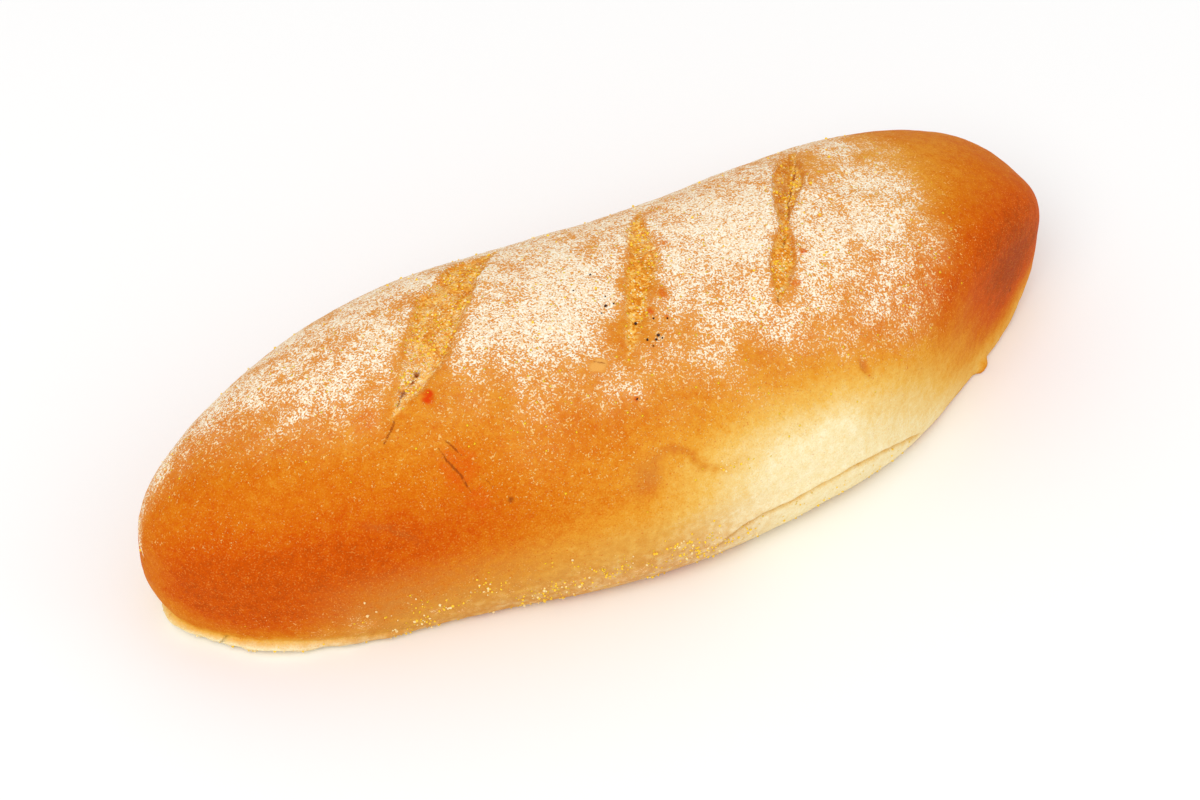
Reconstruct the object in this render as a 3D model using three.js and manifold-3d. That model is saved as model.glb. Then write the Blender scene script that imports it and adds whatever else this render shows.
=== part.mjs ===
// Long loaf, baked as one piece: a rounded body on a flat foot, with three slanted slashes over its
// crown and a seam low on the front where the side folded onto the foot.
//
// Millimetres. +X runs along the loaf, +Z is up and -Y is the front. The origin is the middle of the
// loaf's bounding box at the level of the foot.

import * as THREE from 'three';
import { mergeVertices } from 'three/addons/utils/BufferGeometryUtils.js';
import { ParametricGeometry } from 'three/addons/geometries/ParametricGeometry.js';
import Module from 'manifold-3d';

const wasm = await Module();
wasm.setup();

// Body
const LENGTH = 285;
const WIDTH = 104;
const HEIGHT = 69;
const GIRTH_HEIGHT = 25; // level of the widest line round the loaf
const BELLY_DEPTH = 32.5; // the rounded underside would reach this far below the widest line
const CROWN_POWER = 2.25; // roundness of a section above the widest line
const BELLY_POWER = 3; // and below it, where the side drops steeply to the foot
const CROWN_END_POWER = 2.3;
const BELLY_END_POWER = 8;
const ENDS = {
  left: { plan: 1.8, taper: 1.95, crown: 2.6 },
  right: { plan: 2.75, taper: 2.75, crown: 2 },
};

// The loaf is bent a little, and its sides and crown swell and draw in along the length.
const BOW = 10.5; // how far the ends lie behind the middle
const BOW_CENTRE = 0.3;
const SKEW = -1.7;
const SWELL_PLACES = [-0.75, -0.45, -0.15, 0.15, 0.45, 0.75]; // shares of half the length
const SWELL_SPREAD = 0.22;
const SWELL_FADE = 1.5;
const SWELLS = {
  front: [0, -5, 2, 1.5, 0, 0],
  back: [0, 5, 0, -2.5, -1.5, 1.5],
  crown: [0, 4, -0.5, -2, -1, 0],
};

// The flat patch on the front right, where the loaf touched its neighbour in the oven.
const KISS = { bearing: THREE.MathUtils.degToRad(29), reach: 75, softness: 10 };

// Cuts, as places on the crust: millimetres along the loaf and degrees round the section, where 0 is
// the back, 90 the crown and 180 the front.
const SLASHES = [
  { from: [-82, 114], bend: [-55, 83], to: [-16, 44], halfWidth: 6.5, depth: 4.5 },
  { from: [-17, 117], bend: [7, 90], to: [27, 50], halfWidth: 4.5, depth: 4 },
  { from: [31, 117], bend: [52, 89], to: [79, 49], halfWidth: 3.5, depth: 4.2 },
];
const SEAM = { from: [-3, 196], bend: [27, 170], to: [68, 214], halfWidth: 1.6, depth: 3 };

const SEGMENTS_ALONG = 60;
const SEGMENTS_AROUND = 48;
const CUT_SEGMENTS = { along: 20, around: 10 };
const CUT_LIFT = 0.25; // share of its depth that a cut's tool is raised, so its walls meet the crust
const STEP = 1e-3; // for slopes of the crust
const FLOOR_THICKNESS = 40;
const WELD = 1e-3;

function signedPower(value, power) {
  return Math.sign(value) * Math.abs(value) ** power;
}

function softMin(a, b, softness) {
  const share = THREE.MathUtils.clamp(0.5 + (0.5 * (b - a)) / softness, 0, 1);
  return b * (1 - share) + a * share - softness * share * (1 - share);
}

function swellAt(station, swells) {
  return swells.reduce((sum, amount, i) => {
    const offset = (station - SWELL_PLACES[i]) / SWELL_SPREAD;
    return sum + amount * Math.exp((-offset * offset) / 2);
  }, 0);
}

// Presses a point back from the kissing plane, which stands upright at a bearing from the front.
function pressed(x, y) {
  const nx = Math.sin(KISS.bearing);
  const ny = -Math.cos(KISS.bearing);
  const reach = x * nx + y * ny;
  const push = softMin(reach, KISS.reach, KISS.softness) - reach;
  return [x + push * nx, y + push * ny];
}

// A point of the crust: station runs from -1 to 1 along the loaf, around is the angle in the section.
function crustPoint(station, around) {
  const end = station < 0 ? ENDS.left : ENDS.right;
  const reach = Math.abs(station);
  const plan = (1 - reach ** end.plan) ** (1 / end.taper);
  const crownEnd = (1 - reach ** end.crown) ** (1 / CROWN_END_POWER);
  const bellyEnd = (1 - reach ** BELLY_END_POWER) ** (1 / BELLY_POWER);
  const across = Math.cos(around);
  const upward = Math.sin(around);

  const fade = Math.min(1, SWELL_FADE * plan);
  const sideSwell = swellAt(station, across < 0 ? SWELLS.front : SWELLS.back) * fade;
  const crownSwell = swellAt(station, SWELLS.crown) * fade;
  const halfWidth = (WIDTH / 2) * plan + sideSwell;
  const centre = BOW * (station ** 2 - BOW_CENTRE) + SKEW * station;

  const above = upward >= 0;
  const power = 2 / (above ? CROWN_POWER : BELLY_POWER);
  const crownRise = (HEIGHT - GIRTH_HEIGHT) * crownEnd + crownSwell;
  const rise = above ? crownRise : BELLY_DEPTH * bellyEnd;
  const sideways = centre + signedPower(across, power) * halfWidth;
  const [x, y] = pressed((station * LENGTH) / 2, sideways);
  return new THREE.Vector3(x, y, GIRTH_HEIGHT + signedPower(upward, power) * rise);
}

function solid(geometry) {
  geometry.deleteAttribute('normal');
  geometry.deleteAttribute('uv');
  const welded = mergeVertices(geometry, WELD);
  const mesh = new wasm.Mesh({
    numProp: 3,
    vertProperties: welded.attributes.position.array,
    triVerts: new Uint32Array(welded.index.array),
  });
  return new wasm.Manifold(mesh);
}

// The whole body, still rounded underneath.
function body() {
  const crust = (u, v, target) => {
    target.copy(crustPoint(Math.cos(Math.PI * u), 2 * Math.PI * v));
  };
  return solid(new ParametricGeometry(crust, SEGMENTS_ALONG, SEGMENTS_AROUND));
}

// A long lens that follows the crust and tapers to nothing at both ends.
function lens({ from, bend, to, halfWidth, depth }) {
  const line = new THREE.QuadraticBezierCurve(
    new THREE.Vector2(...from),
    new THREE.Vector2(...bend),
    new THREE.Vector2(...to),
  );
  const onCrust = (share) => {
    const place = line.getPoint(share);
    return [(2 * place.x) / LENGTH, THREE.MathUtils.degToRad(place.y)];
  };
  const surface = (u, v, target) => {
    const share = (1 - Math.cos(Math.PI * u)) / 2;
    const size = Math.sin(Math.PI * u);
    const turn = 2 * Math.PI * v;
    const [station, around] = onCrust(share);
    const here = crustPoint(station, around);
    const along = crustPoint(station + STEP, around).sub(here);
    const round = crustPoint(station, around + STEP).sub(here);
    const normal = along.cross(round).normalize();
    const ahead = crustPoint(...onCrust(share + STEP)).sub(here);
    const side = ahead.cross(normal).normalize();
    target.copy(here);
    target.addScaledVector(side, halfWidth * size * Math.cos(turn));
    target.addScaledVector(normal, depth * size * (Math.sin(turn) + CUT_LIFT));
  };
  return solid(new ParametricGeometry(surface, CUT_SEGMENTS.along, CUT_SEGMENTS.around));
}

function floor() {
  const block = new THREE.BoxGeometry(2 * LENGTH, 2 * LENGTH, FLOOR_THICKNESS);
  return solid(block.translate(0, 0, -FLOOR_THICKNESS / 2));
}

let bread = body().subtract(floor());
for (const cut of [...SLASHES, SEAM]) {
  bread = bread.subtract(lens(cut));
}

const made = bread.getMesh();
const geometry = new THREE.BufferGeometry();
geometry.setAttribute('position', new THREE.BufferAttribute(made.vertProperties, made.numProp));
geometry.setIndex(new THREE.BufferAttribute(made.triVerts, 1));
geometry.computeBoundingBox();
const middle = geometry.boundingBox.getCenter(new THREE.Vector3());
geometry.translate(-middle.x, -middle.y, 0);
geometry.computeVertexNormals();

const crustMaterial = new THREE.MeshStandardMaterial({
  color: 0xc98a4b,
  roughness: 0.8,
  metalness: 0,
});
const loaf = new THREE.Mesh(geometry, crustMaterial);
loaf.name = 'loaf';

const group = new THREE.Group();
group.name = 'sourdough_loaf';
group.add(loaf);

export default group;
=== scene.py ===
import math
from itertools import combinations

import bpy
import numpy as np
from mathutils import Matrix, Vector


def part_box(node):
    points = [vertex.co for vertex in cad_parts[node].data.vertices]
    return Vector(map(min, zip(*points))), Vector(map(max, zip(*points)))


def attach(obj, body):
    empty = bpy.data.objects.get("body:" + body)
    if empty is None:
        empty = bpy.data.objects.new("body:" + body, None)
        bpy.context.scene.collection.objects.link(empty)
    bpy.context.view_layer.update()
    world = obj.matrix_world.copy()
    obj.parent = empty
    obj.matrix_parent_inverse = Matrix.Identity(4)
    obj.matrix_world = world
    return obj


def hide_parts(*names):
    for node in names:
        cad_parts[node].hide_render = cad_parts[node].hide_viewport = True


mm = 0.001  # shapes are worked out in millimetres and stored in metres

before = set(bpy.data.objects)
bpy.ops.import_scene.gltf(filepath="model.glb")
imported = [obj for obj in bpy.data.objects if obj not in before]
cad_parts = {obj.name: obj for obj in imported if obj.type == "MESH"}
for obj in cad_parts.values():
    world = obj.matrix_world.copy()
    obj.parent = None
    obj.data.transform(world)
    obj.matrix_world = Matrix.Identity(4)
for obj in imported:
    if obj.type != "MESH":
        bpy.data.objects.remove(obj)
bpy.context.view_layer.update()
loafLow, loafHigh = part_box("loaf")
print("frame loaded, loaf measures", [round(side / mm, 1) for side in loafHigh - loafLow], "mm")


def softStep(low, high, value):
    share = np.clip((value - low) / (high - low), 0, 1)
    return share * share * (3 - 2 * share)


def signedPower(value, power):
    return np.sign(value) * np.abs(value) ** power


def unit(vectors):
    return vectors / np.maximum(np.linalg.norm(vectors, axis=-1, keepdims=True), 1e-9)


noiseCells = 32
noiseTurn = np.array([[0.80, 0.36, -0.48], [-0.60, 0.48, -0.64], [0.00, 0.80, 0.60]])


def noise(at, bumpSize, seed):
    # seeded lattice noise from -1 to 1, with bumps about bumpSize mm across
    lattice = np.random.default_rng(seed).random((noiseCells,) * 3) * 2 - 1
    place = at @ noiseTurn / bumpSize + seed * 0.37
    cell = np.floor(place).astype(int)
    part = place - cell
    part = part * part * (3 - 2 * part)
    total = 0
    for corner in np.ndindex(2, 2, 2):
        weight = np.prod(np.where(corner, part, 1 - part), axis=-1)
        x, y, z = ((cell + corner) % noiseCells).T
        total = total + lattice[x, y, z] * weight
    return total


def roughNoise(at, bumpSize, seed, octaves=3):
    total = 0
    for octave in range(octaves):
        total = total + noise(at, bumpSize / 2 ** octave, seed + octave) / 2 ** octave
    return total / (2 - 0.5 ** (octaves - 1))


# the body, shaped as the frame's own loaf is
body = {
    "length": 285, "width": 104, "height": 69,
    "girth": 25,  # level of the widest line
    "belly": 32.5,  # how far the rounded underside would reach below it
    "crownPower": 2.25, "bellyPower": 3,
    "crownEndPower": 2.3, "bellyEndPower": 8,
    "leftEnd": {"plan": 1.8, "taper": 1.95, "crown": 2.6},
    "rightEnd": {"plan": 2.75, "taper": 2.75, "crown": 2},
    "bow": 10.5, "bowCentre": 0.3, "skew": -1.7,
    "swellPlaces": [-0.75, -0.45, -0.15, 0.15, 0.45, 0.75],
    "swellSpread": 0.22, "swellFade": 1.5,
    "frontSwells": [0, -5, 2, 1.5, 0, 0],
    "backSwells": [0, 5, 0, -2.5, -1.5, 1.5],
    "crownSwells": [0, 4, -0.5, -2, -1, 0],
    "kissBearing": 29, "kissReach": 75, "kissSoftness": 10,
    "footSoftness": 2.2,  # rounding where the side meets the foot
    "rings": 560,
    "perRing": 440,
    "fineAlong": 4001, "fineRound": 1441,  # points measured, to space the mesh's own evenly
    "underShare": 0.35,  # how fine the mesh is underneath, against the rest
    "underLevel": 0.05,  # mm above the floor, below which a point is underneath
}


def swellAt(station, swells):
    total = 0
    for place, amount in zip(body["swellPlaces"], swells):
        total = total + amount * np.exp(-((station - place) / body["swellSpread"]) ** 2 / 2)
    return total


def bodyPoint(station, around):
    isLeft = station < 0
    left, right = body["leftEnd"], body["rightEnd"]
    plan, taper, crown = (np.where(isLeft, left[key], right[key]) for key in ("plan", "taper", "crown"))
    reach = np.minimum(np.abs(station), 1)
    width = (1 - reach ** plan) ** (1 / taper)
    crownEnd = (1 - reach ** crown) ** (1 / body["crownEndPower"])
    bellyEnd = (1 - reach ** body["bellyEndPower"]) ** (1 / body["bellyPower"])
    across, upward = np.cos(around), np.sin(around)
    above = upward >= 0

    fade = np.minimum(1, body["swellFade"] * width)
    sides = np.where(across < 0, swellAt(station, body["frontSwells"]), swellAt(station, body["backSwells"]))
    halfWidth = body["width"] / 2 * width + sides * fade
    centre = body["bow"] * (station ** 2 - body["bowCentre"]) + body["skew"] * station
    power = np.where(above, 2 / body["crownPower"], 2 / body["bellyPower"])
    crownRise = (body["height"] - body["girth"]) * crownEnd + swellAt(station, body["crownSwells"]) * fade
    rise = np.where(above, crownRise, body["belly"] * bellyEnd)
    x = station * body["length"] / 2 + 0 * around
    y = centre + signedPower(across, power) * halfWidth
    z = body["girth"] + signedPower(upward, power) * rise

    # the flat side where another loaf touched this one in the oven
    bearing = math.radians(body["kissBearing"])
    nx, ny = math.sin(bearing), -math.cos(bearing)
    reachOut = x * nx + y * ny
    soft = body["kissSoftness"]
    share = np.clip(0.5 + 0.5 * (body["kissReach"] - reachOut) / soft, 0, 1)
    pressed = body["kissReach"] * (1 - share) + reachOut * share - soft * share * (1 - share)
    x, y = x + (pressed - reachOut) * nx, y + (pressed - reachOut) * ny

    # the foot
    foot = body["footSoftness"]
    z = np.where(z > foot, z, np.where(z < -foot, 0, (z + foot) ** 2 / (4 * foot)))
    return np.stack([x, y, z], -1)


def evenly(lengths, fine, count):
    # count values of fine, with equal lengths between them
    travelled = np.concatenate([[0], np.cumsum(lengths)])
    return np.interp(np.linspace(0, travelled[-1], count), travelled, fine)


def bodyGrid():
    # rings of points, evenly spaced along the loaf and round it
    fineStations = np.cos(np.linspace(math.pi, 0, body["fineAlong"]))
    compass = np.radians([0, 90, 180, 225])[None, :]  # back, crown, front and low on the front
    tracks = bodyPoint(fineStations[:, None], compass)
    lengths = np.linalg.norm(np.diff(tracks, axis=0), axis=2).mean(axis=1)
    stations = evenly(lengths, fineStations, body["rings"])
    fineAround = np.linspace(-0.5 * math.pi, 1.5 * math.pi, body["fineRound"])
    angles = np.empty((body["rings"], body["perRing"] + 1))
    for ring, station in enumerate(stations):
        section = bodyPoint(np.full_like(fineAround, station), fineAround)
        steps = np.linalg.norm(np.diff(section, axis=0), axis=1) + 1e-6
        steps *= np.where(section[1:, 2] < body["underLevel"], body["underShare"], 1)
        angles[ring] = evenly(steps, fineAround, body["perRing"] + 1)
    angles = angles[:, :-1]  # the last point of a ring is its first
    stations = np.repeat(stations[:, None], body["perRing"], axis=1)
    return stations, angles, bodyPoint(stations, angles)


stations, angles, gridPoints = bodyGrid()
rawLow, rawHigh = gridPoints.min(axis=(0, 1)), gridPoints.max(axis=(0, 1))
boxLow, boxHigh = np.array(loafLow) / mm, np.array(loafHigh) / mm
fitScale = (boxHigh - boxLow) / (rawHigh - rawLow)


def fitToFrame(points):
    return boxLow + (points - rawLow) * fitScale


def placeOn(along, degrees):
    # the place on the crust at mm along the loaf and degrees round it: 0 back, 90 crown, 180 front
    station = np.asarray(along, float) / (body["length"] / 2)
    return fitToFrame(bodyPoint(station, np.radians(np.asarray(degrees, float))))


gridPoints = fitToFrame(gridPoints)
alongStep = np.gradient(gridPoints, axis=0)
aroundStep = (np.roll(gridPoints, -1, axis=1) - np.roll(gridPoints, 1, axis=1)) / 2
gridOut = unit(np.cross(alongStep, aroundStep))
if (gridOut[1:-1] * (gridPoints[1:-1] - gridPoints.mean(axis=(0, 1)))).sum() < 0:
    gridOut = -gridOut

at = gridPoints.reshape(-1, 3)
out = gridOut.reshape(-1, 3)
along = (stations * body["length"] / 2).reshape(-1)
around = np.degrees(angles).reshape(-1)  # -90 to 270
rise = np.zeros(len(at))
sideways = np.zeros_like(at)
print("body shaped:", len(at), "points")


def smoothLine(values, count):
    # a curve through every value, evenly shared between them
    values = np.asarray(values, float)
    padded = np.concatenate([[2 * values[0] - values[1]], values, [2 * values[-1] - values[-2]]])
    place = np.linspace(0, len(values) - 1, count)
    start = np.minimum(place.astype(int), len(values) - 2)
    t = place - start
    a, b, c, d = (padded[start + shift] for shift in range(4))
    bendTerm, twistTerm = 2 * a - 5 * b + 4 * c - d, 3 * b - a - 3 * c + d
    return 0.5 * (2 * b + (c - a) * t + bendTerm * t ** 2 + twistTerm * t ** 3)


linePoints = 120  # how finely a line on the crust is followed


def lineOn(places):
    alongs, degrees = zip(*places)
    return placeOn(smoothLine(alongs, linePoints), smoothLine(degrees, linePoints))


def nearLine(places, margin):
    # the points near a line, and for each its share along the line, and mm aside and past its ends
    line = lineOn(places)
    near = np.flatnonzero(((at > line.min(0) - margin) & (at < line.max(0) + margin)).all(axis=1))
    offsets = at[near][:, None, :] - line[None, :, :]
    nearest = (offsets ** 2).sum(axis=2).argmin(axis=1)
    offset = offsets[np.arange(len(near)), nearest]
    ahead = unit(np.gradient(line, axis=0))[nearest]
    right = unit(np.cross(ahead, out[near]))
    past = np.where(np.isin(nearest, (0, linePoints - 1)), (offset * ahead).sum(axis=1), 0)
    aside = (offset * right).sum(axis=1)
    return near, nearest / (linePoints - 1), aside, past


def nearSpot(alongAt, degreesAt, sizeAlong, sizeAround):
    # 1 at a spot's middle, about 0.6 at its edge and 0 well outside
    middle = placeOn(alongAt, degreesAt)
    tangentAlong = unit(placeOn(alongAt + 0.5, degreesAt) - placeOn(alongAt - 0.5, degreesAt))
    tangentAround = unit(placeOn(alongAt, degreesAt + 0.5) - placeOn(alongAt, degreesAt - 0.5))
    offset = at - middle
    u, v = offset @ tangentAlong / sizeAlong, offset @ tangentAround / sizeAround
    near = (offset ** 2).sum(axis=1) < (3.2 * max(sizeAlong, sizeAround)) ** 2
    return np.where(near, np.exp(-(u ** 2 + v ** 2) / 2), 0)


slashes = [  # halfWidth and depth are in mm, at each place of the line
    {
        "line": [(-20, 49), (-34, 61), (-47, 75), (-60, 90), (-70, 101), (-79, 112)],
        "halfWidth": [0.6, 5.6, 7.4, 6.2, 3.8, 0.3],
        "depth": [0.4, 1.5, 1.9, 1.4, 0.8, 0.2],
        "vShape": [0, 0, 0, 0, 0, 0],  # 1 is a sharp groove, 0 a torn floor
        "lip": 0.25, "ragged": 0.9, "softness": 1.3, "seed": 11,
    },
    {
        "line": [(21, 56), (14.5, 70), (8.5, 84), (-4, 99), (-15, 115)],
        "halfWidth": [0.6, 3.4, 4.0, 3.8, 0.5],
        "depth": [0.3, 1.1, 1.2, 0.8, 0.2],
        "vShape": [0, 0, 0, 0, 0],
        "lip": 0.20, "ragged": 1.4, "softness": 2.2, "seed": 23,
    },
    {
        "line": [
            (76, 51), (69.5, 62), (63, 73), (56.5, 82), (51, 89.5),
            (46, 96), (42, 101.5), (37, 108), (33, 113.5),
        ],
        "halfWidth": [0.3, 3.2, 4.7, 3.4, 1.4, 2.8, 4.0, 2.4, 0.3],
        "depth": [0.3, 1.9, 2.7, 2.3, 1.6, 1.4, 1.3, 0.8, 0.2],
        "vShape": [1, 1, 1, 1, 0.6, 0.1, 0, 0, 0],
        "lip": 0.40, "ragged": 0.5, "softness": 0.9, "seed": 37,
    },
]
cutFloor = np.zeros(len(at))  # torn crumb inside a slash
rimBrownAndShade = np.zeros(len(at))  # browned rim round it, with painted shade on its walls
bareRim = np.zeros(len(at))  # crust that flour fell away from

for slash in slashes:
    near, share, aside, past = nearLine(slash["line"], margin=14)
    spot = share * (len(slash["line"]) - 1)
    knots = range(len(slash["line"]))
    halfWidth = np.interp(spot, knots, slash["halfWidth"])
    depth = np.interp(spot, knots, slash["depth"])
    vShape = np.interp(spot, knots, slash["vShape"])
    raggedEdge = slash["ragged"] * (
        roughNoise(at[near], 6, slash["seed"]) + 0.5 * noise(at[near], 1.6, slash["seed"] + 5)
    )
    edge = np.hypot(aside, past) - halfWidth + raggedEdge * softStep(0.5, 3, halfWidth)
    inside = softStep(0.3, -0.4 - 1.4 * slash["softness"], edge)
    groove = np.clip(1 - np.abs(aside) / np.maximum(halfWidth, 0.5), 0, 1) ** 0.8
    crumb = 0.62 * roughNoise(at[near], 3.6, slash["seed"] + 9)
    crumb = crumb + 0.30 * noise(at[near], 1.3, slash["seed"] + 13)
    floorDepth = depth * inside * (0.72 + 0.28 * softStep(halfWidth, 0, -edge))
    cut = floorDepth * (1 - vShape) + depth * groove * vShape
    rise[near] -= cut - crumb * inside * (1 - 0.6 * vShape)
    bulge = np.where(edge > 0, np.exp(-(edge / 2.2) ** 2), 0)
    rise[near] += slash["lip"] * softStep(0.4, 4, halfWidth) * bulge
    cutFloor[near] = np.maximum(cutFloor[near], softStep(0.25, -0.75, edge / slash["softness"]))
    onLeft = softStep(-0.6, 0.6, aside)
    # the rim colour is weaker on the left side: it is partly browning, partly painted shade on the wall
    wallBrownAndShade = np.exp(-((edge + 0.5) / 0.8) ** 2) * softStep(0.3, 2.5, halfWidth) * (1 - 0.5 * onLeft)
    wallBrownAndShade = np.maximum(wallBrownAndShade, 0.7 * onLeft * inside * vShape)  # painted shade on the left wall of a sharp groove
    rimBrownAndShade[near] = np.maximum(rimBrownAndShade[near], wallBrownAndShade / slash["softness"])
    bareRim[near] = np.maximum(bareRim[near], np.exp(-(np.maximum(edge, 0) / 2.4) ** 2))
print("slashes cut:", len(slashes))


seam = {  # where the side folded onto the foot
    "line": [
        (-7, 201), (-1, 190), (9, 184.5), (23, 184.5), (35, 183.5),
        (47, 185), (61, 191.5), (71, 202), (78, 216),
    ],
    "halfWidth": 1.0, "depth": 2.8,
    "overhang": 1.5,  # how far the side bulges over the foot
}
near, share, aside, past = nearLine(seam["line"], margin=12)
fadeEnds = softStep(0, 0.12, share) * softStep(1, 0.85, share) * np.exp(-(past / 2) ** 2)
wobble = 0.5 * noise(at[near], 9, 61) + 0.25 * noise(at[near], 2.5, 62)
gap = aside + wobble
rise[near] -= seam["depth"] * np.exp(-(gap / seam["halfWidth"]) ** 2) * fadeEnds
rise[near] += seam["overhang"] * fadeEnds * np.where(gap < 0, np.exp(gap / 4) * softStep(0, -1.2, gap), 0)
belowSeam = np.zeros(len(at))
belowSeam[near] = fadeEnds * softStep(-0.3, 0.5, gap)
# painted shade along the seam's crease, added to the browning
seamShade = np.zeros(len(at))
seamShade[near] = fadeEnds * np.exp(-((gap - 0.2) / 1.1) ** 2)
# a thin painted shade line down the crease, coloured like the splits
seamShadeLine = np.zeros(len(at))
seamShadeLine[near] = np.clip(1 - np.abs(gap) / 2, 0, 1) * softStep(0, 0.3, fadeEnds) * 0.88

# the thin pale lip at the foot of the left end; station and spread are shares of half the length
lip = {"station": -0.83, "spread": 0.17, "flare": 2.9, "height": 4.2}
height = at[:, 2]
onFront = softStep(0.45, 0.05, out[:, 1]) * ((around > 150) | (around < -20))
ruffle = noise(at, 6, 71)
lipTop = lip["height"] * (1 + 0.25 * ruffle)
level = softStep(lipTop, lipTop - 1.2, height)
lipAt = np.exp(-((along / (body["length"] / 2) - lip["station"]) / lip["spread"]) ** 2 / 2) * onFront
outFlat = unit(out * np.array([1, 1, 0]))
facing = softStep(0.15, 0.5, np.linalg.norm(out[:, :2], axis=1))
lipMask = lipAt * level * facing
lipPale = lipAt * softStep(lipTop + 3.5, lipTop - 1.0, height) * facing
sideways += outFlat * (lip["flare"] * lipMask * (1 + 0.4 * ruffle + 0.2 * noise(at, 2.4, 73)))[:, None]

# splits and wrinkles: halfWidth and depth are in mm, dark is how black, brown how much it browned
cracks = [
    {"line": [(-65.5, 96), (-67, 97.5), (-68.5, 99)], "halfWidth": 0.6, "depth": 0.9, "dark": 1.0},
    {"line": [(-69.5, 100.5), (-71, 101.5)], "halfWidth": 0.5, "depth": 0.6, "dark": 0.8},
    {"line": [(-72, 102.5), (-74, 104.5), (-76, 108)], "halfWidth": 0.6, "depth": 0.8, "dark": 0.9},
    {"line": [(-78, 112), (-80, 116), (-83.5, 121)], "halfWidth": 0.5, "depth": 0.5, "dark": 0.95},
    {"line": [(-71, 129), (-70.5, 134), (-69, 139), (-68, 145), (-67, 149)],
     "halfWidth": 0.6, "depth": 0.5, "dark": 0.85},
    {"line": [(-69, 127), (-67.5, 131), (-66.5, 134.5)], "halfWidth": 0.5, "depth": 0.4, "dark": 0.7},
    {"line": [(-64, 143), (-61, 150)], "halfWidth": 0.5, "depth": 0.4, "dark": 0.2},
    {"line": [(-20, 151), (-15.5, 148), (-10, 150.5), (-8.5, 155), (-5, 159.5), (1, 161), (5.5, 159.5)],
     "halfWidth": 1.0, "depth": 0.4, "dark": 0.0, "brown": 0.12},
    {"line": [(47.5, 144), (48.5, 151)], "halfWidth": 1.2, "depth": 0.9, "dark": 0.0, "brown": 0.22},
    {"line": [(75, 55), (67.5, 69), (60, 79), (55, 86), (51.5, 91)],
     "halfWidth": 0.5, "depth": 0.35, "dark": 0.8},
    {"line": [(-23.8, 112.2), (-20.8, 113.4)], "halfWidth": 0.4, "depth": 0.3, "dark": 0.7},
    {"line": [(49, 92), (45, 97)], "halfWidth": 0.5, "depth": 0.6, "dark": 0.7},
    {"line": [(34.5, 111), (32.5, 114)], "halfWidth": 0.6, "depth": 0.6, "dark": 0.9},
    {"line": [(-42, 196), (-38, 205)], "halfWidth": 0.7, "depth": 0.4, "dark": 0.0, "brown": 0.12},
    {"line": [(-96, 150), (-88, 156), (-82, 165)],
     "halfWidth": 0.8, "depth": 0.3, "dark": 0.0, "brown": 0.06},
]
crackAndCreaseShade = seamShadeLine.copy()  # 1 on a dark split and on the painted shade line in the seam's crease, falling to 0 two mm away
crackBrown = np.zeros(len(at))
for index, crack in enumerate(cracks):
    near, share, aside, past = nearLine(crack["line"], margin=5)
    gap = np.hypot(aside + 0.4 * noise(at[near], 2.4, 80 + index), past)
    taper = 0.35 + 0.65 * np.sin(math.pi * np.clip(share, 0, 1))
    shape = np.exp(-(gap / (crack["halfWidth"] * taper)) ** 2)
    rise[near] += crack["depth"] * (0.35 * np.exp(-(gap / 1.7) ** 2) - shape) * taper
    if crack["dark"] > 0:
        lineNear = np.clip(1.06 - gap / 2, 0, 1) * (0.84 + 0.16 * crack["dark"] * taper)
        crackAndCreaseShade[near] = np.maximum(crackAndCreaseShade[near], lineNear)
    broken = 1 + 0.9 * noise(at[near], 2.6, 95 + index)
    crackBrown[near] += crack.get("brown", 0) * np.exp(-(gap / 1.3) ** 2) * taper * broken

folds = [  # low ridges
    {"line": [(76, 90), (84, 98), (88, 108), (88, 122), (86, 140)], "width": 3.2, "height": 0.55},
    {"line": [(60, 80), (67, 84), (73, 92)], "width": 1.8, "height": 0.4},
    {"line": [(-80, 52), (-92, 60), (-101, 71)], "width": 4, "height": 0.4},
]
for fold in folds:
    near, _, aside, past = nearLine(fold["line"], margin=12)
    rise[near] += fold["height"] * np.exp(-(np.hypot(aside, past) / fold["width"]) ** 2)

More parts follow.
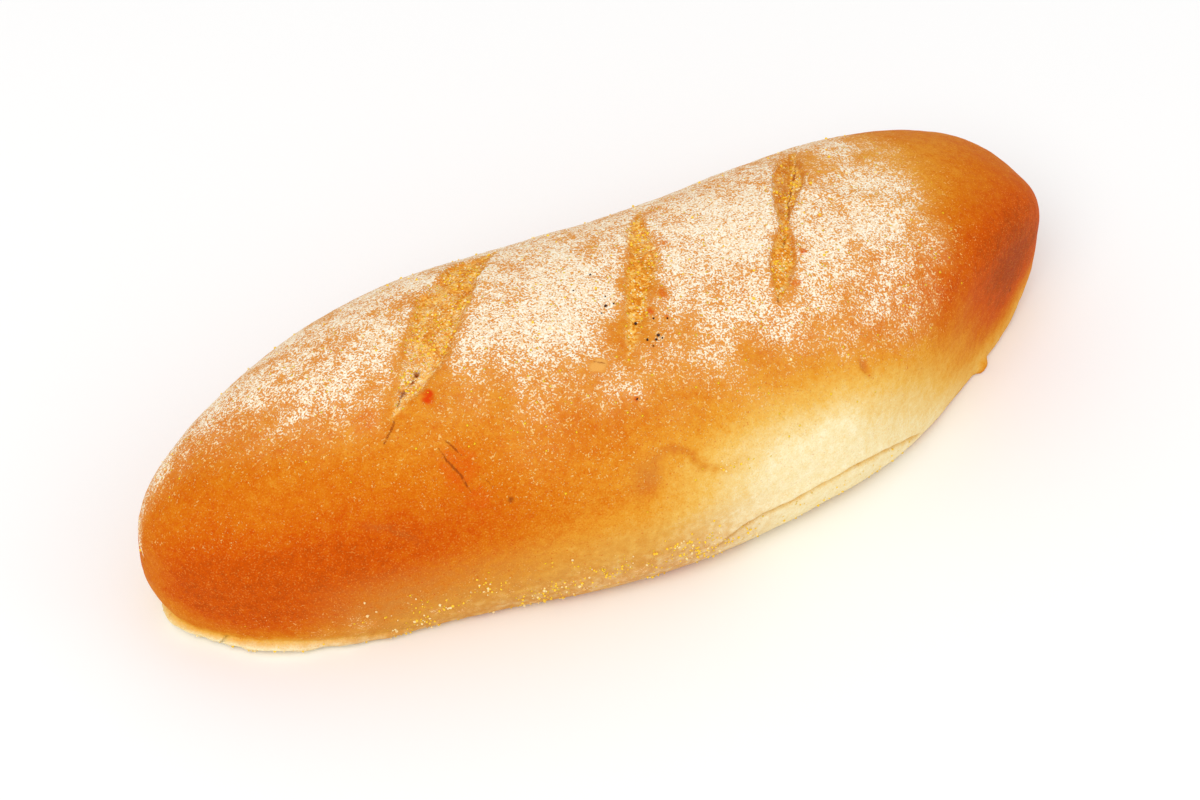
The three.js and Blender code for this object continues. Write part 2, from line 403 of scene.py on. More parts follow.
# blisters, burnt specks, dents and a flake: place is along and degrees, size and rise are in mm
spots = [
    {"place": (-68, 109), "size": (1.5, 2.0), "rise": 0.45, "red": 1.0},
    {"place": (-66.9, 97.3), "size": (0.45, 0.8), "rise": -0.7, "dark": 1.0},
    {"place": (-69, 100), "size": (0.6, 0.5), "rise": -0.5, "dark": 0.9},
    {"place": (-72.4, 102.7), "size": (0.6, 0.5), "rise": -0.6, "dark": 0.9},
    {"place": (-58, 155), "size": (0.55, 0.8), "rise": 0.1, "dark": 0.9},
    {"place": (-21, 154), "size": (3.4, 2.2), "rise": -0.45, "browningAndShade": 0.06},
    {"place": (-22.5, 159), "size": (2.2, 3.0), "rise": -0.25, "browningAndShade": 0.18},
    {"place": (-31, 163), "size": (5.0, 2.0), "rise": -0.2, "browningAndShade": 0.07},
    {"place": (-68, 138), "size": (4.0, 5.0), "rise": 0.2, "red": 0.40},
    {"place": (-66, 152), "size": (2.5, 3.0), "rise": 0.1, "red": 0.35},
    {"place": (-85, 108), "size": (3.5, 2.5), "rise": 0.15, "red": 0.22},
    {"place": (5.5, 97), "size": (0.8, 1.3), "rise": 0.2, "red": 0.50},
    {"place": (-1, 101.5), "size": (0.8, 1.0), "rise": 0.1, "red": 0.70},
    {"place": (2, 104.5), "size": (0.6, 0.6), "rise": 0.1, "red": 0.60},
    {"place": (16.5, 81.5), "size": (1.8, 0.5), "rise": 0.1, "red": 0.40},
    {"place": (48.5, 101), "size": (1.0, 0.7), "rise": 0.15, "red": 0.60},
    {"place": (41, 110), "size": (1.7, 0.7), "rise": 0.1, "red": 0.45},
    {"place": (-18, 128), "size": (0.7, 0.7), "rise": 0.1, "red": 0.6},
    {"place": (126, 186), "size": (0.6, 0.7), "rise": -0.1, "dark": 0.9},
    {"place": (-23, 114), "size": (2.5, 1.6), "rise": 0.22, "flake": 1.0},
    {"place": (108, 224), "size": (1.7, 1.3), "rise": 1.8, "browningAndShade": 0.2},
    {"place": (110.5, 222), "size": (1.0, 0.9), "rise": 1.2, "browningAndShade": 0.1},
]
redness, darkSpots, flake, bakeChange = (np.zeros(len(at)) for _ in range(4))
for spot in spots:
    shape = nearSpot(*spot["place"], *spot["size"])
    rise += spot["rise"] * shape
    broken = shape + 0.22 * noise(at, 1.6, 93) * (shape > 0.05)
    redness = np.maximum(redness, spot.get("red", 0) * softStep(0.30, 0.75, broken))
    darkSpots = np.maximum(darkSpots, spot.get("dark", 0) * softStep(0.3, 0.7, shape))
    torn = shape + 0.12 * noise(at, 1.5, 91)
    flake = np.maximum(flake, spot.get("flake", 0) * softStep(0.40, 0.60, torn))
    bakeChange += spot.get("browningAndShade", 0) * shape
print("seam, lip,", len(cracks), "cracks,", len(folds), "folds and", len(spots), "spots made")


# the crust's own unevenness: mm across, mm high, seed
unevenness = [(46, 0.75, 1), (17, 0.35, 4), (7.5, 0.16, 7), (2.6, 0.07, 10), (1.3, 0.035, 13)]
inCut = 1 - 0.6 * cutFloor
for across, high, seed in unevenness:
    rise += high * noise(at, across, seed) * inCut

under = softStep(-0.55, -0.9, out[:, 2])  # the flat foot
rise *= 1 - under


browningWithShade = {  # how the loaf browned, from 0, hardly baked, to 1, dark, with painted shade at the right end and along the seam
    "overall": 0.62,
    "palest": 0.07,
    "zones": [  # along, degrees, spread along, spread round, change of browning
        (-106, 177, 42, 25, 0.26),
        (-114, 191, 26, 8, 0.06),
        (-138, 130, 20, 60, 0.12),
        # the right end: browner, and also painted shade where it turns away from the light
        (118, 136, 24, 48, 0.29),
        (127, 178, 16, 18, 0.20),
        (70, 138, 16, 12, 0.12),
        (30, 187, 34, 22, -0.54),
        (22, 158, 24, 12, -0.18),
        (74, 200, 24, 18, -0.20),
        (-8, 200, 26, 20, -0.12),
        (-22, 176, 14, 12, 0.05),
        (-54, 201, 42, 16, -0.36),
        (-24, 134, 14, 8, 0.05),
        (2, 158, 10, 8, -0.05),
        (30, 222, 70, 14, -0.24),
        (112, 212, 28, 18, -0.16),
        (100, 86, 18, 22, -0.19),
    ],
}


def zoneSum(zones):
    total = np.zeros(len(at))
    for alongAt, degreesAt, spreadAlong, spreadAround, amount in zones:
        turned = (around - degreesAt + 180) % 360 - 180
        offset = ((along - alongAt) / spreadAlong) ** 2 + (turned / spreadAround) ** 2
        total += amount * np.exp(-offset / 2)
    return total


backSide = softStep(30, -10, around) * softStep(-90, -55, around)
browningAndShade = browningWithShade["overall"] + zoneSum(browningWithShade["zones"]) + bakeChange
browningAndShade += 0.07 * roughNoise(at, 26, 101) + 0.04 * roughNoise(at, 7, 104) + crackBrown
lowMottle = softStep(178, 192, around) * softStep(20, -15, along) * softStep(-135, -90, along)
browningAndShade += 0.12 * lowMottle * roughNoise(at, 6, 110)
browningAndShade += backSide * (0.12 - 0.35 * softStep(22, 3, height)) * (1 - under)
browningAndShade = browningAndShade * (1 - under) + under * (0.50 + 0.16 * roughNoise(at, 13, 107))
browningAndShade -= 0.38 * lipMask + 0.26 * lipPale + 0.30 * belowSeam * softStep(22, 10, height)
bloom = nearSpot(26, 170, 9, 4.5) + 0.8 * nearSpot(37, 164, 6, 4.5)  # where flour clung to the pale side
browningAndShade -= 0.10 * bloom
darkest = np.where(along < 60, 0.86, 1.0)  # the right end may go darkest: partly its own browning, partly painted shade
# the painted shade in the seam's crease goes on top of the browning
browningAndShade = np.clip(browningAndShade, browningWithShade["palest"], darkest) + 0.26 * seamShade

tipBlend = {"evened": 3, "ringInside": 9, "ringOutside": 15, "reach": 17}  # mm from the tip
for tipRing in (0, -1):
    # towards each tip the browning goes over to the mean of a ring round it
    tip = at.reshape(body["rings"], -1, 3)[tipRing].mean(axis=0)
    fromTip = np.linalg.norm(at - tip, axis=1)
    ring = (fromTip > tipBlend["ringInside"]) & (fromTip < tipBlend["ringOutside"])
    browningAndShade += (browningAndShade[ring].mean() - browningAndShade) * softStep(tipBlend["reach"], tipBlend["evened"], fromTip)

flouring = {
    "along": [-143, -122, -105, -88, -70, -55, -42, -28, -14, 0, 15, 30, 45, 60, 78, 90, 143],
    "edge": [56, 70, 88, 103, 106, 112, 119, 119, 116, 121, 125, 127, 132, 133, 129, 114, 60],  # degrees
    "softness": 23,
    "backEdge": 22, "backSoftness": 14,  # degrees
    "rightEnd": 92,  # mm along, where the dusting stops
    "bare": [  # along, degrees, size along, size round, share of the flour gone
        (-11, 106, 7, 6, 0.52), (-70, 112, 8, 5, 0.3), (-67, 135, 7, 8, 0.8), (74, 66, 8, 8, 0.55),
        (9, 110, 8, 4, 0.12), (52, 117, 9, 6, 0.20), (20, 131, 10, 5, 0.45),
    ],
    "thick": [  # along, degrees, size along, size round, flour added
        (-26, 93, 11, 9, 0.26), (-44, 95, 9, 8, 0.10), (40, 84, 15, 10, 0.28),
        (-66, 120, 6, 4, 0.1), (48, 137, 10, 5, 0.10),
    ],
}
flourEdge = np.interp(along, flouring["along"], flouring["edge"])
pastFront = (around - flourEdge) / flouring["softness"]
pastBack = (around - flouring["backEdge"]) / flouring["backSoftness"]
flour = softStep(1.75, -1.2, pastFront + 0.55 * roughNoise(at, 13, 121))
flour *= softStep(-1.4, 1.4, pastBack + 0.7 * roughNoise(at, 17, 125))
flour *= softStep(20, -12, along - flouring["rightEnd"] + 9 * roughNoise(at, 15, 129))
flour *= 0.78 + 0.38 * roughNoise(at, 9, 133) + 0.36 * roughNoise(at, 3.2, 137)
for alongAt, degreesAt, sizeAlong, sizeAround, amount in flouring["thick"]:
    flour += amount * nearSpot(alongAt, degreesAt, sizeAlong, sizeAround)
flour *= 1 - 0.35 * bareRim * softStep(70, 85, around)
flour *= 1 - cutFloor * (0.78 - 0.4 * noise(at, 4.5, 139) - 0.30 * softStep(-30, -60, along))
flour = np.maximum(flour, 0.52 * cutFloor * softStep(-52, -66, along))
for alongAt, degreesAt, sizeAlong, sizeAround, amount in flouring["bare"]:
    flour *= 1 - amount * nearSpot(alongAt, degreesAt, sizeAlong, sizeAround)

# a little flour strayed further down, lowest in the middle of the front
middleFront = softStep(-78, -48, along) * softStep(30, 0, along)
stray = softStep(164 + 8 * middleFront, 120 + 10 * middleFront, around)
stray = stray * softStep(-20, 30, around) * softStep(110, 85, along)
stray *= softStep(-0.7, 0.6, roughNoise(at, 14, 141)) * (1 - 0.5 * softStep(-60, -100, along))
flour = np.maximum(flour, (0.20 + 0.09 * middleFront) * stray * (1 - cutFloor))
flour = np.maximum(flour, 0.38 * lowMottle * softStep(-0.4, 0.6, roughNoise(at, 5, 143)))
flour = np.maximum(flour, 0.35 * under * softStep(-0.2, 0.5, roughNoise(at, 12, 145)))
flour = np.clip(flour * (1 - flake) * (1 - 0.85 * redness), 0, 1)

# where semolina stuck: low on the front's left, in the slashes, along the seam and thinly in the flour
lowBand = softStep(178, 188, around) * softStep(6, -8, along) * softStep(-105, -85, along) * (1 - under)
lowBand = lowBand * softStep(-0.25, 0.5, roughNoise(at, 9, 151))
semolina = 0.9 * cutFloor + 0.8 * lowBand + 0.9 * nearSpot(-5, 192, 6, 2.0) + 0.5 * nearSpot(3, 160, 6, 2)
semolina += 0.25 * belowSeam + 0.25 * flour
tan = softStep(168, 190, around) * softStep(25, -20, along) * softStep(-118, -86, along) * (1 - under)
tan = np.maximum(tan, np.clip(3 * crackBrown, 0, 0.6) + 0.7 * nearSpot(-22, 156, 3.6, 3.4))
print("baked and floured")

finished = at + out * rise[:, None] + sideways
finished[:, 2] = np.maximum(finished[:, 2], 0)
rings, perRing = body["rings"], body["perRing"]


def crustMesh(name):
    points = finished.reshape(rings, perRing, 3)
    leftTip, rightTip = points[0].mean(axis=0), points[-1].mean(axis=0)
    middle = points[1:-1].reshape(-1, 3)
    vertices = np.concatenate([middle, [leftTip, rightTip]]) * mm
    inner = rings - 2
    ids = np.arange(inner * perRing).reshape(inner, perRing)
    nextIds = np.roll(ids, -1, axis=1)
    quads = np.stack([ids[:-1], ids[1:], nextIds[1:], nextIds[:-1]], -1).reshape(-1, 4)
    leftTip, rightTip = inner * perRing, inner * perRing + 1
    leftFan = np.stack([np.full(perRing, leftTip), ids[0], nextIds[0]], -1)
    rightFan = np.stack([np.full(perRing, rightTip), nextIds[-1], ids[-1]], -1)
    mesh = bpy.data.meshes.new(name)
    mesh.from_pydata(vertices.tolist(), [], quads.tolist() + leftFan.tolist() + rightFan.tolist())
    mesh.polygons.foreach_set("use_smooth", np.ones(len(mesh.polygons), bool))
    return mesh


def unwrapCrust(mesh):
    # a flat layout of the crust: across it goes along the loaf, and up it goes round
    inner = rings - 2
    columns = np.arange(perRing)
    low, high = columns / perRing, (columns + 1) / perRing
    rows = (np.arange(inner) + 1) / (rings - 1)
    everyQuad = np.ones((inner - 1, perRing))
    lowV, highV = everyQuad * low, everyQuad * high
    startU, endU = everyQuad * rows[:-1, None], everyQuad * rows[1:, None]
    quadUv = np.stack([startU, lowV, endU, lowV, endU, highV, startU, highV], -1).reshape(-1, 2)
    first, last = np.full(perRing, rows[0]), np.full(perRing, rows[-1])
    zero, one, mid = np.zeros(perRing), np.ones(perRing), (low + high) / 2
    leftUv = np.stack([zero, mid, first, low, first, high], -1).reshape(-1, 2)
    rightUv = np.stack([one, mid, last, high, last, low], -1).reshape(-1, 2)
    unwrap = mesh.uv_layers.new(name="OFBake")
    unwrap.data.foreach_set("uv", np.concatenate([quadUv, leftUv, rightUv]).ravel().astype(np.float32))


def paint(mesh, name, values):
    # stores one number at each point of the crust, for the material to read
    grid = values.reshape(rings, perRing)
    tips = [grid[0].mean(), grid[-1].mean()]
    layer = mesh.attributes.new(name, "FLOAT", "POINT")
    layer.data.foreach_set("value", np.concatenate([grid[1:-1].ravel(), tips]).astype(np.float32))


crustData = crustMesh("loafCrust")
unwrapCrust(crustData)
for name, values in {
    "browningAndShade": browningAndShade, "flour": flour, "cutFloor": cutFloor, "rimBrownAndShade": rimBrownAndShade, "redness": redness,
    "crackAndCreaseShade": crackAndCreaseShade, "darkSpots": darkSpots,
    "semolina": np.clip(semolina, 0, 1), "flake": flake, "tan": tan,
}.items():
    paint(crustData, name, values)
crust = bpy.data.objects.new("loafCrust", crustData)
bpy.context.scene.collection.objects.link(crust)
print("crust mesh made:", len(crustData.polygons), "faces")


def srgb(red, green, blue):
    # a colour given from 0 to 255, made linear
    shares = [part / 255 for part in (red, green, blue)]
    linear = [((part + 0.055) / 1.055) ** 2.4 if part > 0.04045 else part / 12.92 for part in shares]
    return (*linear, 1)


class Nodes:
    # short words for building a material's nodes
    def __init__(self, name):
        self.material = bpy.data.materials.new(name)
        self.material.use_nodes = True
        self.tree = self.material.node_tree
        self.shader = self.tree.nodes["Principled BSDF"]
        self.coordinates = self.add("TexCoord").outputs["Object"]

    def add(self, kind, inputs=None, **settings):
        node = self.tree.nodes.new("ShaderNode" + kind)
        for key, value in settings.items():
            setattr(node, key, value)
        for key, value in (inputs or {}).items():
            if isinstance(value, bpy.types.NodeSocket):
                self.tree.links.new(value, node.inputs[key])
            else:
                node.inputs[key].default_value = value
        return node

    def painted(self, name):
        return self.add("Attribute", attribute_name=name).outputs["Fac"]

    def noise(self, size, detail=2.0, roughness=0.5):
        # size in mm
        inputs = {"Vector": self.coordinates, "Scale": 1 / (size * mm)}
        inputs.update({"Detail": detail, "Roughness": roughness})
        return self.add("TexNoise", inputs).outputs["Fac"]

    def cells(self, size):
        inputs = {"Vector": self.coordinates, "Scale": 1 / (size * mm)}
        return self.add("TexVoronoi", inputs)

    def calc(self, operation, a, b=0.0):
        return self.add("Math", {0: a, 1: b}, operation=operation).outputs[0]

    def step(self, value, low, high, toLow=0.0, toHigh=1.0):
        inputs = {"Value": value, "From Min": low, "From Max": high, "To Min": toLow, "To Max": toHigh}
        return self.add("MapRange", inputs, interpolation_type="SMOOTHSTEP").outputs["Result"]

    def mix(self, share, a, b, blend="MIX"):
        node = self.add("Mix", data_type="RGBA", blend_type=blend)
        for socket, value in ((node.inputs[0], share), (node.inputs[6], a), (node.inputs[7], b)):
            if isinstance(value, bpy.types.NodeSocket):
                self.tree.links.new(value, socket)
            else:
                socket.default_value = value
        return node.outputs[2]

    def ramp(self, value, stops):
        node = self.add("ValToRGB", {"Fac": value})
        elements = node.color_ramp.elements
        while len(elements) < len(stops):
            elements.new(0.5)
        for element, (place, colour) in zip(elements, stops):
            element.position = place
            element.color = colour
        return node.outputs["Color"]


crustFinish = {
    "browning": [  # from hardly baked to dark; the dark end also colours the painted shade
        (0.00, srgb(250, 238, 198)),
        (0.09, srgb(244, 226, 174)),
        (0.20, srgb(239, 208, 138)),
        (0.36, srgb(233, 183, 86)),
        (0.52, srgb(225, 152, 44)),
        (0.68, srgb(212, 115, 14)),
        (0.84, srgb(202, 82, 3)),
        (1.00, srgb(163, 64, 6)),
    ],
    "flour": srgb(255, 251, 232),
    "flourShade": srgb(249, 216, 170),
    "flourThin": srgb(247, 198, 118),
    "veil": srgb(238, 172, 100),
    "tan": srgb(206, 140, 60),
    "crumb": [  # torn crumb from darker to paler, spread by noise
        (0.42, srgb(212, 120, 22)), (0.50, srgb(236, 157, 46)), (0.60, srgb(253, 210, 116)),
    ],
    # browned slash rim with painted shade on its walls
    "wallBrownAndShade": srgb(204, 116, 36),
    "grain": srgb(255, 243, 192),
    "semolina": srgb(248, 204, 40),
    "fleckPale": srgb(246, 182, 84),
    "fleckDark": srgb(196, 62, 0),
    "red": srgb(216, 66, 10),
    # the colour of splits and dark specks, also used for the painted shade line in the seam's crease
    "crack": srgb(140, 60, 16),
    "flake": srgb(236, 172, 88),
    "crustRoughness": 0.55, "flourRoughness": 0.95,
    "specular": 0.02,
}


def crustMaterial():
    finish = crustFinish
    n = Nodes("bakedCrust")

    def share(*factors):
        product = factors[0]
        for factor in factors[1:]:
            product = n.calc("MULTIPLY", product, factor)
        return product

    def push(value, amount):
        # an even noise turned into a push up or down
        return share(n.calc("SUBTRACT", value, 0.5), amount)

    fine, mottle = n.noise(0.55, 2, 0.65), n.noise(2.4, 3, 0.6)
    browningAndShadeLevel = n.calc("ADD", n.painted("browningAndShade"), push(mottle, 0.26))
    browningAndShadeLevel = n.calc("ADD", browningAndShadeLevel, push(fine, 0.26))
    colour = n.ramp(browningAndShadeLevel, finish["browning"])
    tanOn = share(n.painted("tan"), n.step(mottle, 0.30, 0.62, 0.40, 0.85))
    colour = n.mix(tanOn, colour, finish["tan"])

    # tiny pale and dark flecks all over the crust
    fleck = n.noise(0.46, 1, 0.5)
    colour = n.mix(share(n.step(fleck, 0.57, 0.72), 0.28), colour, finish["fleckPale"])
    pitted = share(n.step(n.noise(0.6, 1, 0.5), 0.36, 0.24), n.step(n.painted("browningAndShade"), 0.2, 0.6, 0.24, 0.6))
    colour = n.mix(pitted, colour, finish["fleckDark"])

    # torn crumb
    crumbTone = n.calc("ADD", share(n.noise(0.8, 2, 0.65), 0.55), share(n.noise(3.4, 3, 0.6), 0.45))
    crumbColour = n.ramp(crumbTone, finish["crumb"])
    grain = n.cells(0.85)
    grainOn = n.step(grain.outputs["Distance"], 0.45, 0.25)
    grainPick = n.add("SeparateColor", {"Color": grain.outputs["Color"]}).outputs[0]
    grainClumps = n.step(n.calc("ADD", n.noise(3.0, 2), push(grainPick, 0.3)), 0.48, 0.58)
    crumbColour = n.mix(share(grainOn, grainClumps, 0.9), crumbColour, finish["grain"])
    colour = n.mix(n.painted("cutFloor"), colour, crumbColour)
    # the slash rim: browning with painted shade on the walls
    rimColourAndShade = share(n.painted("rimBrownAndShade"), n.step(n.noise(2.0, 2), 0.3, 0.65, 0.25, 0.8))
    colour = n.mix(rimColourAndShade, colour, finish["wallBrownAndShade"])

    # flour: a thin veil, then grains that show where the fine noise stands above the dusting's level
    dust = n.painted("flour")
    veilOn = share(n.step(dust, 0.05, 0.85), n.step(n.noise(1.1, 2, 0.6), 0.34, 0.62, 0.30, 0.85))
    colour = n.mix(veilOn, colour, finish["veil"])
    grainHeight = n.calc("ADD", share(n.noise(0.54, 1, 0.5), 0.68), share(n.noise(1.8, 2, 0.6), 0.32))
    needed = n.calc("SUBTRACT", 0.65, share(dust, 0.228))
    cover = n.step(n.calc("SUBTRACT", grainHeight, needed), -0.032, 0.038)
    cover = share(cover, n.step(dust, 0.0, 0.05))
    flourTone = n.mix(n.step(n.noise(0.65, 2, 0.65), 0.40, 0.58), finish["flourShade"], finish["flour"])
    thick = n.step(dust, 0.15, 0.75)
    flourTone = n.mix(thick, finish["flourThin"], flourTone)
    colour = n.mix(share(cover, n.step(dust, 0.1, 0.7, 0.72, 0.96)), colour, flourTone)

    redOn = share(n.painted("redness"), n.step(n.noise(1.6, 2), 0.3, 0.6, 0.45, 1.0))
    colour = n.mix(redOn, colour, finish["red"])
    colour = n.mix(share(n.painted("flake"), 0.9), colour, finish["flake"])

    yellow = n.cells(0.95)
    yellowPick = n.add("SeparateColor", {"Color": yellow.outputs["Color"]}).outputs[1]
    yellowNeeded = n.calc("SUBTRACT", 1.0, share(n.painted("semolina"), 0.22))
    yellowPicked = n.calc("GREATER_THAN", yellowPick, yellowNeeded)
    yellowOn = share(n.step(yellow.outputs["Distance"], 0.42, 0.30), yellowPicked)
    colour = n.mix(share(yellowOn, 0.85), colour, finish["semolina"])

    # splits, dark specks and the painted shade line down the seam's crease
    crackAndCreaseOn = n.step(n.calc("ADD", n.painted("crackAndCreaseShade"), push(n.noise(1.1, 2), 0.26)), 0.80, 0.96)
    splitsAndCreaseShade = n.calc("MAXIMUM", share(n.painted("darkSpots"), 0.9), share(crackAndCreaseOn, 0.75))
    colour = n.mix(splitsAndCreaseShade, colour, finish["crack"])

    n.tree.links.new(colour, n.shader.inputs["Base Color"])
    roughness = n.step(cover, 0.0, 1.0, finish["crustRoughness"], finish["flourRoughness"])
    n.tree.links.new(roughness, n.shader.inputs["Roughness"])
    n.shader.inputs["Specular IOR Level"].default_value = finish["specular"]

    relief = n.calc("ADD", share(fine, 0.16), share(cover, 0.08))
    relief = n.calc("ADD", relief, share(grainOn, n.painted("cutFloor"), 0.12))
    relief = n.calc("ADD", relief, share(yellowOn, 0.2))
    bump = n.add("Bump", {"Height": relief, "Distance": 1.0 * mm, "Strength": 1.0})
    n.tree.links.new(bump.outputs["Normal"], n.shader.inputs["Normal"])
    return n.material


crustData.materials.append(crustMaterial())
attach(crust, "root")
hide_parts("loaf")
print("crust material made")


semolinaGrains = {  # left where the dough was turned out onto it, and in the slashes
    "seed": 7,
    "counts": {"onFlour": 120, "inSlashes": 220, "lowDown": 330, "alongSeam": 34, "underneath": 400},
    "size": (0.17, 0.46),  # mm from the middle to the outside
    "burnt": [  # along, degrees and size of dark crumbs that stuck to the top
        (-3.5, 109.7, 0.60), (-4.6, 110.8, 0.42), (-2.6, 111.0, 0.36), (-7.0, 110.3, 0.46),
        (-6.4, 112.6, 0.30), (-6.9, 103.3, 0.55), (-8.7, 95.3, 0.30), (-11.0, 95.0, 0.40),
        (-9.2, 92.3, 0.30), (-8.1, 84.0, 0.34), (-13.0, 97.0, 0.26), (-1.5, 104.0, 0.30),
        (-18.0, 128.0, 0.34), (1.8, 105.5, 0.28), (-15.5, 88.0, 0.30),
    ],
    "tones": [  # golden, cream and burnt
        (0.0, srgb(255, 212, 52)), (0.5, srgb(255, 232, 168)), (1.0, srgb(52, 18, 16)),
    ],
    "creamShare": 0.30,
    "standOut": 0.35,  # how far out a grain's middle stands, as a share of its size
    "squash": (0.65, 1.25), "unevenness": 0.16,
    "roughness": 0.45, "specular": 0.3,
}


def grainShape():
    # the 12 corners and 20 triangles of a grain, before it is squashed and turned
    golden = (1 + 5 ** 0.5) / 2
    corners = []
    for a in (-1, 1):
        for b in (-golden, golden):
            corners += [(0, a, b), (a, b, 0), (b, 0, a)]
    corners = unit(np.array(corners, float))
    touching = np.linalg.norm(corners[:, None] - corners[None], axis=2) < 1.2
    triangles = []
    for i, j, k in combinations(range(len(corners)), 3):
        if touching[i, j] and touching[j, k] and touching[i, k]:
            facing = np.dot(np.cross(corners[j] - corners[i], corners[k] - corners[i]), corners[i])
            triangles.append((i, j, k) if facing > 0 else (i, k, j))
    return corners, np.array(triangles)


def grainChances():
    # how likely a grain is at each point of the crust, for each place it lies in
    clumps = 0.5 + softStep(0, 0.6, noise(at, 5, 163))
    bySeam, onFold = nearSpot(-5, 192, 5, 1.6), nearSpot(3, 160, 5, 1.5)
    return {
        "onFlour": flour ** 2,
        "inSlashes": cutFloor ** 2 * softStep(-0.1, 0.5, noise(at, 4, 161)),
        "lowDown": lowBand * clumps + 1.5 * bySeam + 0.5 * onFold + 0.15 * lipMask,
        "alongSeam": belowSeam * softStep(22, 14, height) * (1 - under),
        "underneath": under,
    }


def semolinaMaterial():
    n = Nodes("semolina")
    tone = n.ramp(n.painted("tone"), semolinaGrains["tones"])
    shade = n.step(n.noise(0.35, 2), 0.3, 0.7, 0.82, 1.06)
    grey = n.add("CombineColor", {"Red": shade, "Green": shade, "Blue": shade}).outputs[0]
    tone = n.mix(1.0, tone, grey, "MULTIPLY")
    n.tree.links.new(tone, n.shader.inputs["Base Color"])
    n.shader.inputs["Roughness"].default_value = semolinaGrains["roughness"]
    n.shader.inputs["Specular IOR Level"].default_value = semolinaGrains["specular"]
    return n.material


def makeSemolina():
    grains = semolinaGrains
    rng = np.random.default_rng(grains["seed"])
    picks = []
    for where, chance in grainChances().items():
        picks.append(rng.choice(len(at), grains["counts"][where], p=chance / chance.sum()))
    picks = np.concatenate(picks)
    places = finished[picks]
    outwards = out[picks]
    sizes = rng.uniform(*grains["size"], len(picks))
    shades = np.where(rng.random(len(picks)) < grains["creamShare"], 0.5, 0.0)
    for alongAt, degreesAt, size in grains["burnt"]:
        nearest = ((at - placeOn(alongAt, degreesAt)) ** 2).sum(axis=1).argmin()
        places = np.vstack([places, finished[nearest]])
        outwards = np.vstack([outwards, out[nearest]])
        sizes, shades = np.append(sizes, size), np.append(shades, 1.0)
    corners, triangles = grainShape()
    cornerCount = len(corners)
    uneven = grains["unevenness"]
    vertices, faces, tones = [], [], []
    for place, outward, size, shade in zip(places, outwards, sizes, shades):
        stretch = rng.uniform(*grains["squash"], 3)
        turn, _ = np.linalg.qr(rng.normal(size=(3, 3)))
        if np.linalg.det(turn) < 0:
            turn[:, 0] = -turn[:, 0]
        shape = corners * (1 + rng.uniform(-uneven, uneven, (cornerCount, 1))) * stretch * size @ turn
        placed = place + outward * size * grains["standOut"] + shape
        placed[:, 2] = np.maximum(placed[:, 2], 0.01)  # kept just above the floor
        faces.append(triangles + cornerCount * len(vertices))
        vertices.append(placed)
        tones.append(np.full(cornerCount, shade))
    mesh = bpy.data.meshes.new("semolinaGrains")
    mesh.from_pydata((np.concatenate(vertices) * mm).tolist(), [], np.concatenate(faces).tolist())
    layer = mesh.attributes.new("tone", "FLOAT", "POINT")
    layer.data.foreach_set("value", np.concatenate(tones).astype(np.float32))
    mesh.materials.append(semolinaMaterial())
    piece = bpy.data.objects.new("semolinaGrains", mesh)
    bpy.context.scene.collection.objects.link(piece)
    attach(piece, "root")
    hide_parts("loaf")
    print("semolina scattered:", len(places), "grains")


makeSemolina()


studio = {
    "floorSize": 8.0, "floor": (0.97, 0.97, 0.97, 1),
    "floorRoughness": 0.9, "floorSpecular": 0.1,
    "floorDrop": 0.2 * mm,  # how far the floor lies below the foot
    "world": (1.0, 1.0, 1.0, 1), "worldStrength": 0.78,
    "lights": [  # place in metres, size, watts, colour
        {"name": "key", "place": (-0.9, -0.7, 1.3), "size": 1.1, "power": 11, "colour": (1, 0.985, 0.96)},
        {"name": "fill", "place": (1.0, -0.9, 0.9), "size": 1.2, "power": 2.4, "colour": (1, 1, 1)},
    ],
}


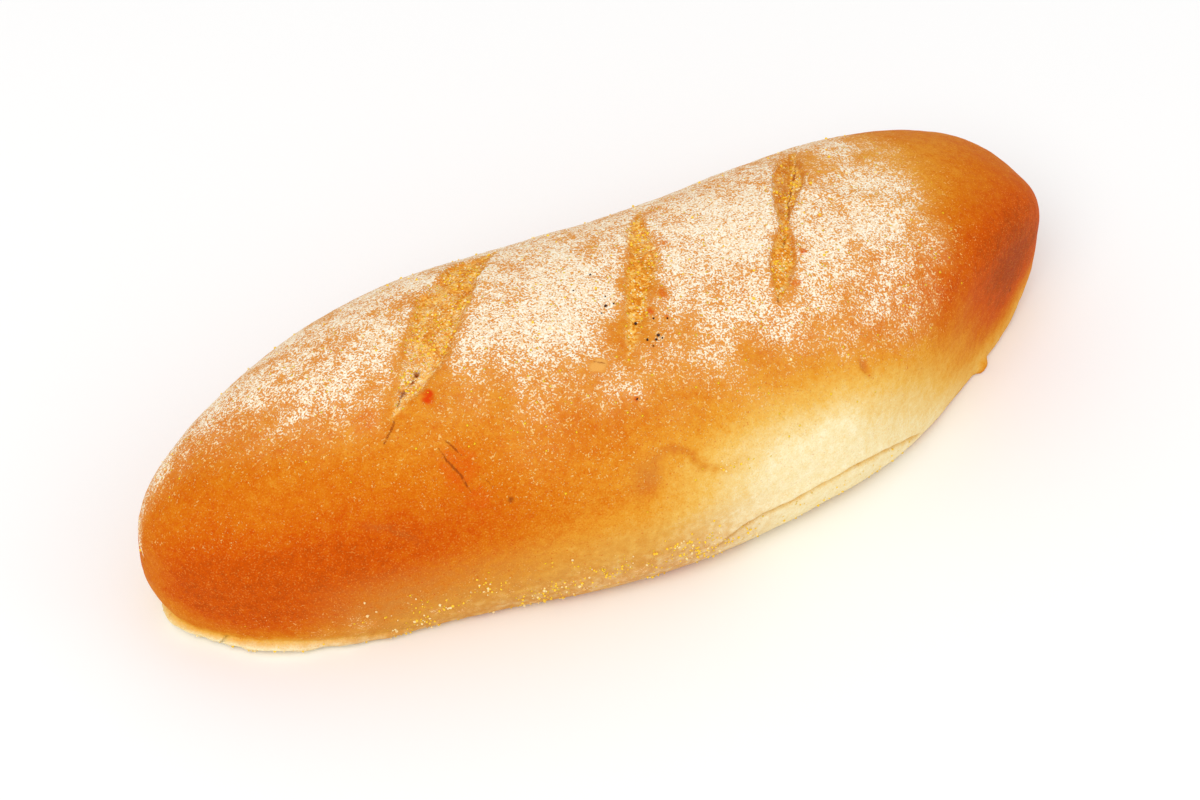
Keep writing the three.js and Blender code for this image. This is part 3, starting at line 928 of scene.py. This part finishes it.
def makeStudio():
    scene = bpy.context.scene
    scene.view_settings.view_transform = "Standard"
    half = studio["floorSize"] / 2
    floorData = bpy.data.meshes.new("floor")
    corners = [(-half, -half, 0), (half, -half, 0), (half, half, 0), (-half, half, 0)]
    floorData.from_pydata(corners, [], [(0, 1, 2, 3)])
    floor = bpy.data.objects.new("floor", floorData)
    scene.collection.objects.link(floor)
    paper = Nodes("paper")
    paper.shader.inputs["Base Color"].default_value = studio["floor"]
    paper.shader.inputs["Roughness"].default_value = studio["floorRoughness"]
    paper.shader.inputs["Specular IOR Level"].default_value = studio["floorSpecular"]
    floorData.materials.append(paper.material)
    floor.location.z = -studio["floorDrop"]

    world = bpy.data.worlds.new("studioWorld")
    world.use_nodes = True
    background = world.node_tree.nodes["Background"]
    background.inputs["Color"].default_value = studio["world"]
    background.inputs["Strength"].default_value = studio["worldStrength"]
    scene.world = world

    middle = (loafLow + loafHigh) / 2
    for light in studio["lights"]:
        data = bpy.data.lights.new(light["name"], "AREA")
        data.shape = "DISK"
        data.size = light["size"]
        data.energy = light["power"]
        data.color = light["colour"]
        lamp = bpy.data.objects.new(light["name"], data)
        lamp.location = middle + Vector(light["place"])
        lamp.rotation_euler = (-Vector(light["place"])).to_track_quat("-Z", "Y").to_euler()
        scene.collection.objects.link(lamp)


view = {
    "turn": -31, "above": 45,  # degrees round the loaf from its front, and above the floor
    "distance": 0.9,  # metres
    "lens": 97.7,
    "aim": (-0.0326, -0.003, 0.3823),  # from the foot's middle, in shares of length, width and height
}


def makeCamera():
    turn, above = math.radians(view["turn"]), math.radians(view["above"])
    size = loafHigh - loafLow
    foot = Vector(((loafLow.x + loafHigh.x) / 2, (loafLow.y + loafHigh.y) / 2, loafLow.z))
    aim = foot + Vector([share * side for share, side in zip(view["aim"], size)])
    back = Vector((math.sin(turn) * math.cos(above), -math.cos(turn) * math.cos(above), math.sin(above)))
    data = bpy.data.cameras.new("camera")
    data.lens = view["lens"]
    camera = bpy.data.objects.new("camera", data)
    camera.location = aim + back * view["distance"]
    camera.rotation_euler = back.to_track_quat("Z", "Y").to_euler()
    bpy.context.scene.collection.objects.link(camera)
    bpy.context.scene.camera = camera


makeStudio()
makeCamera()
print("studio and camera set")
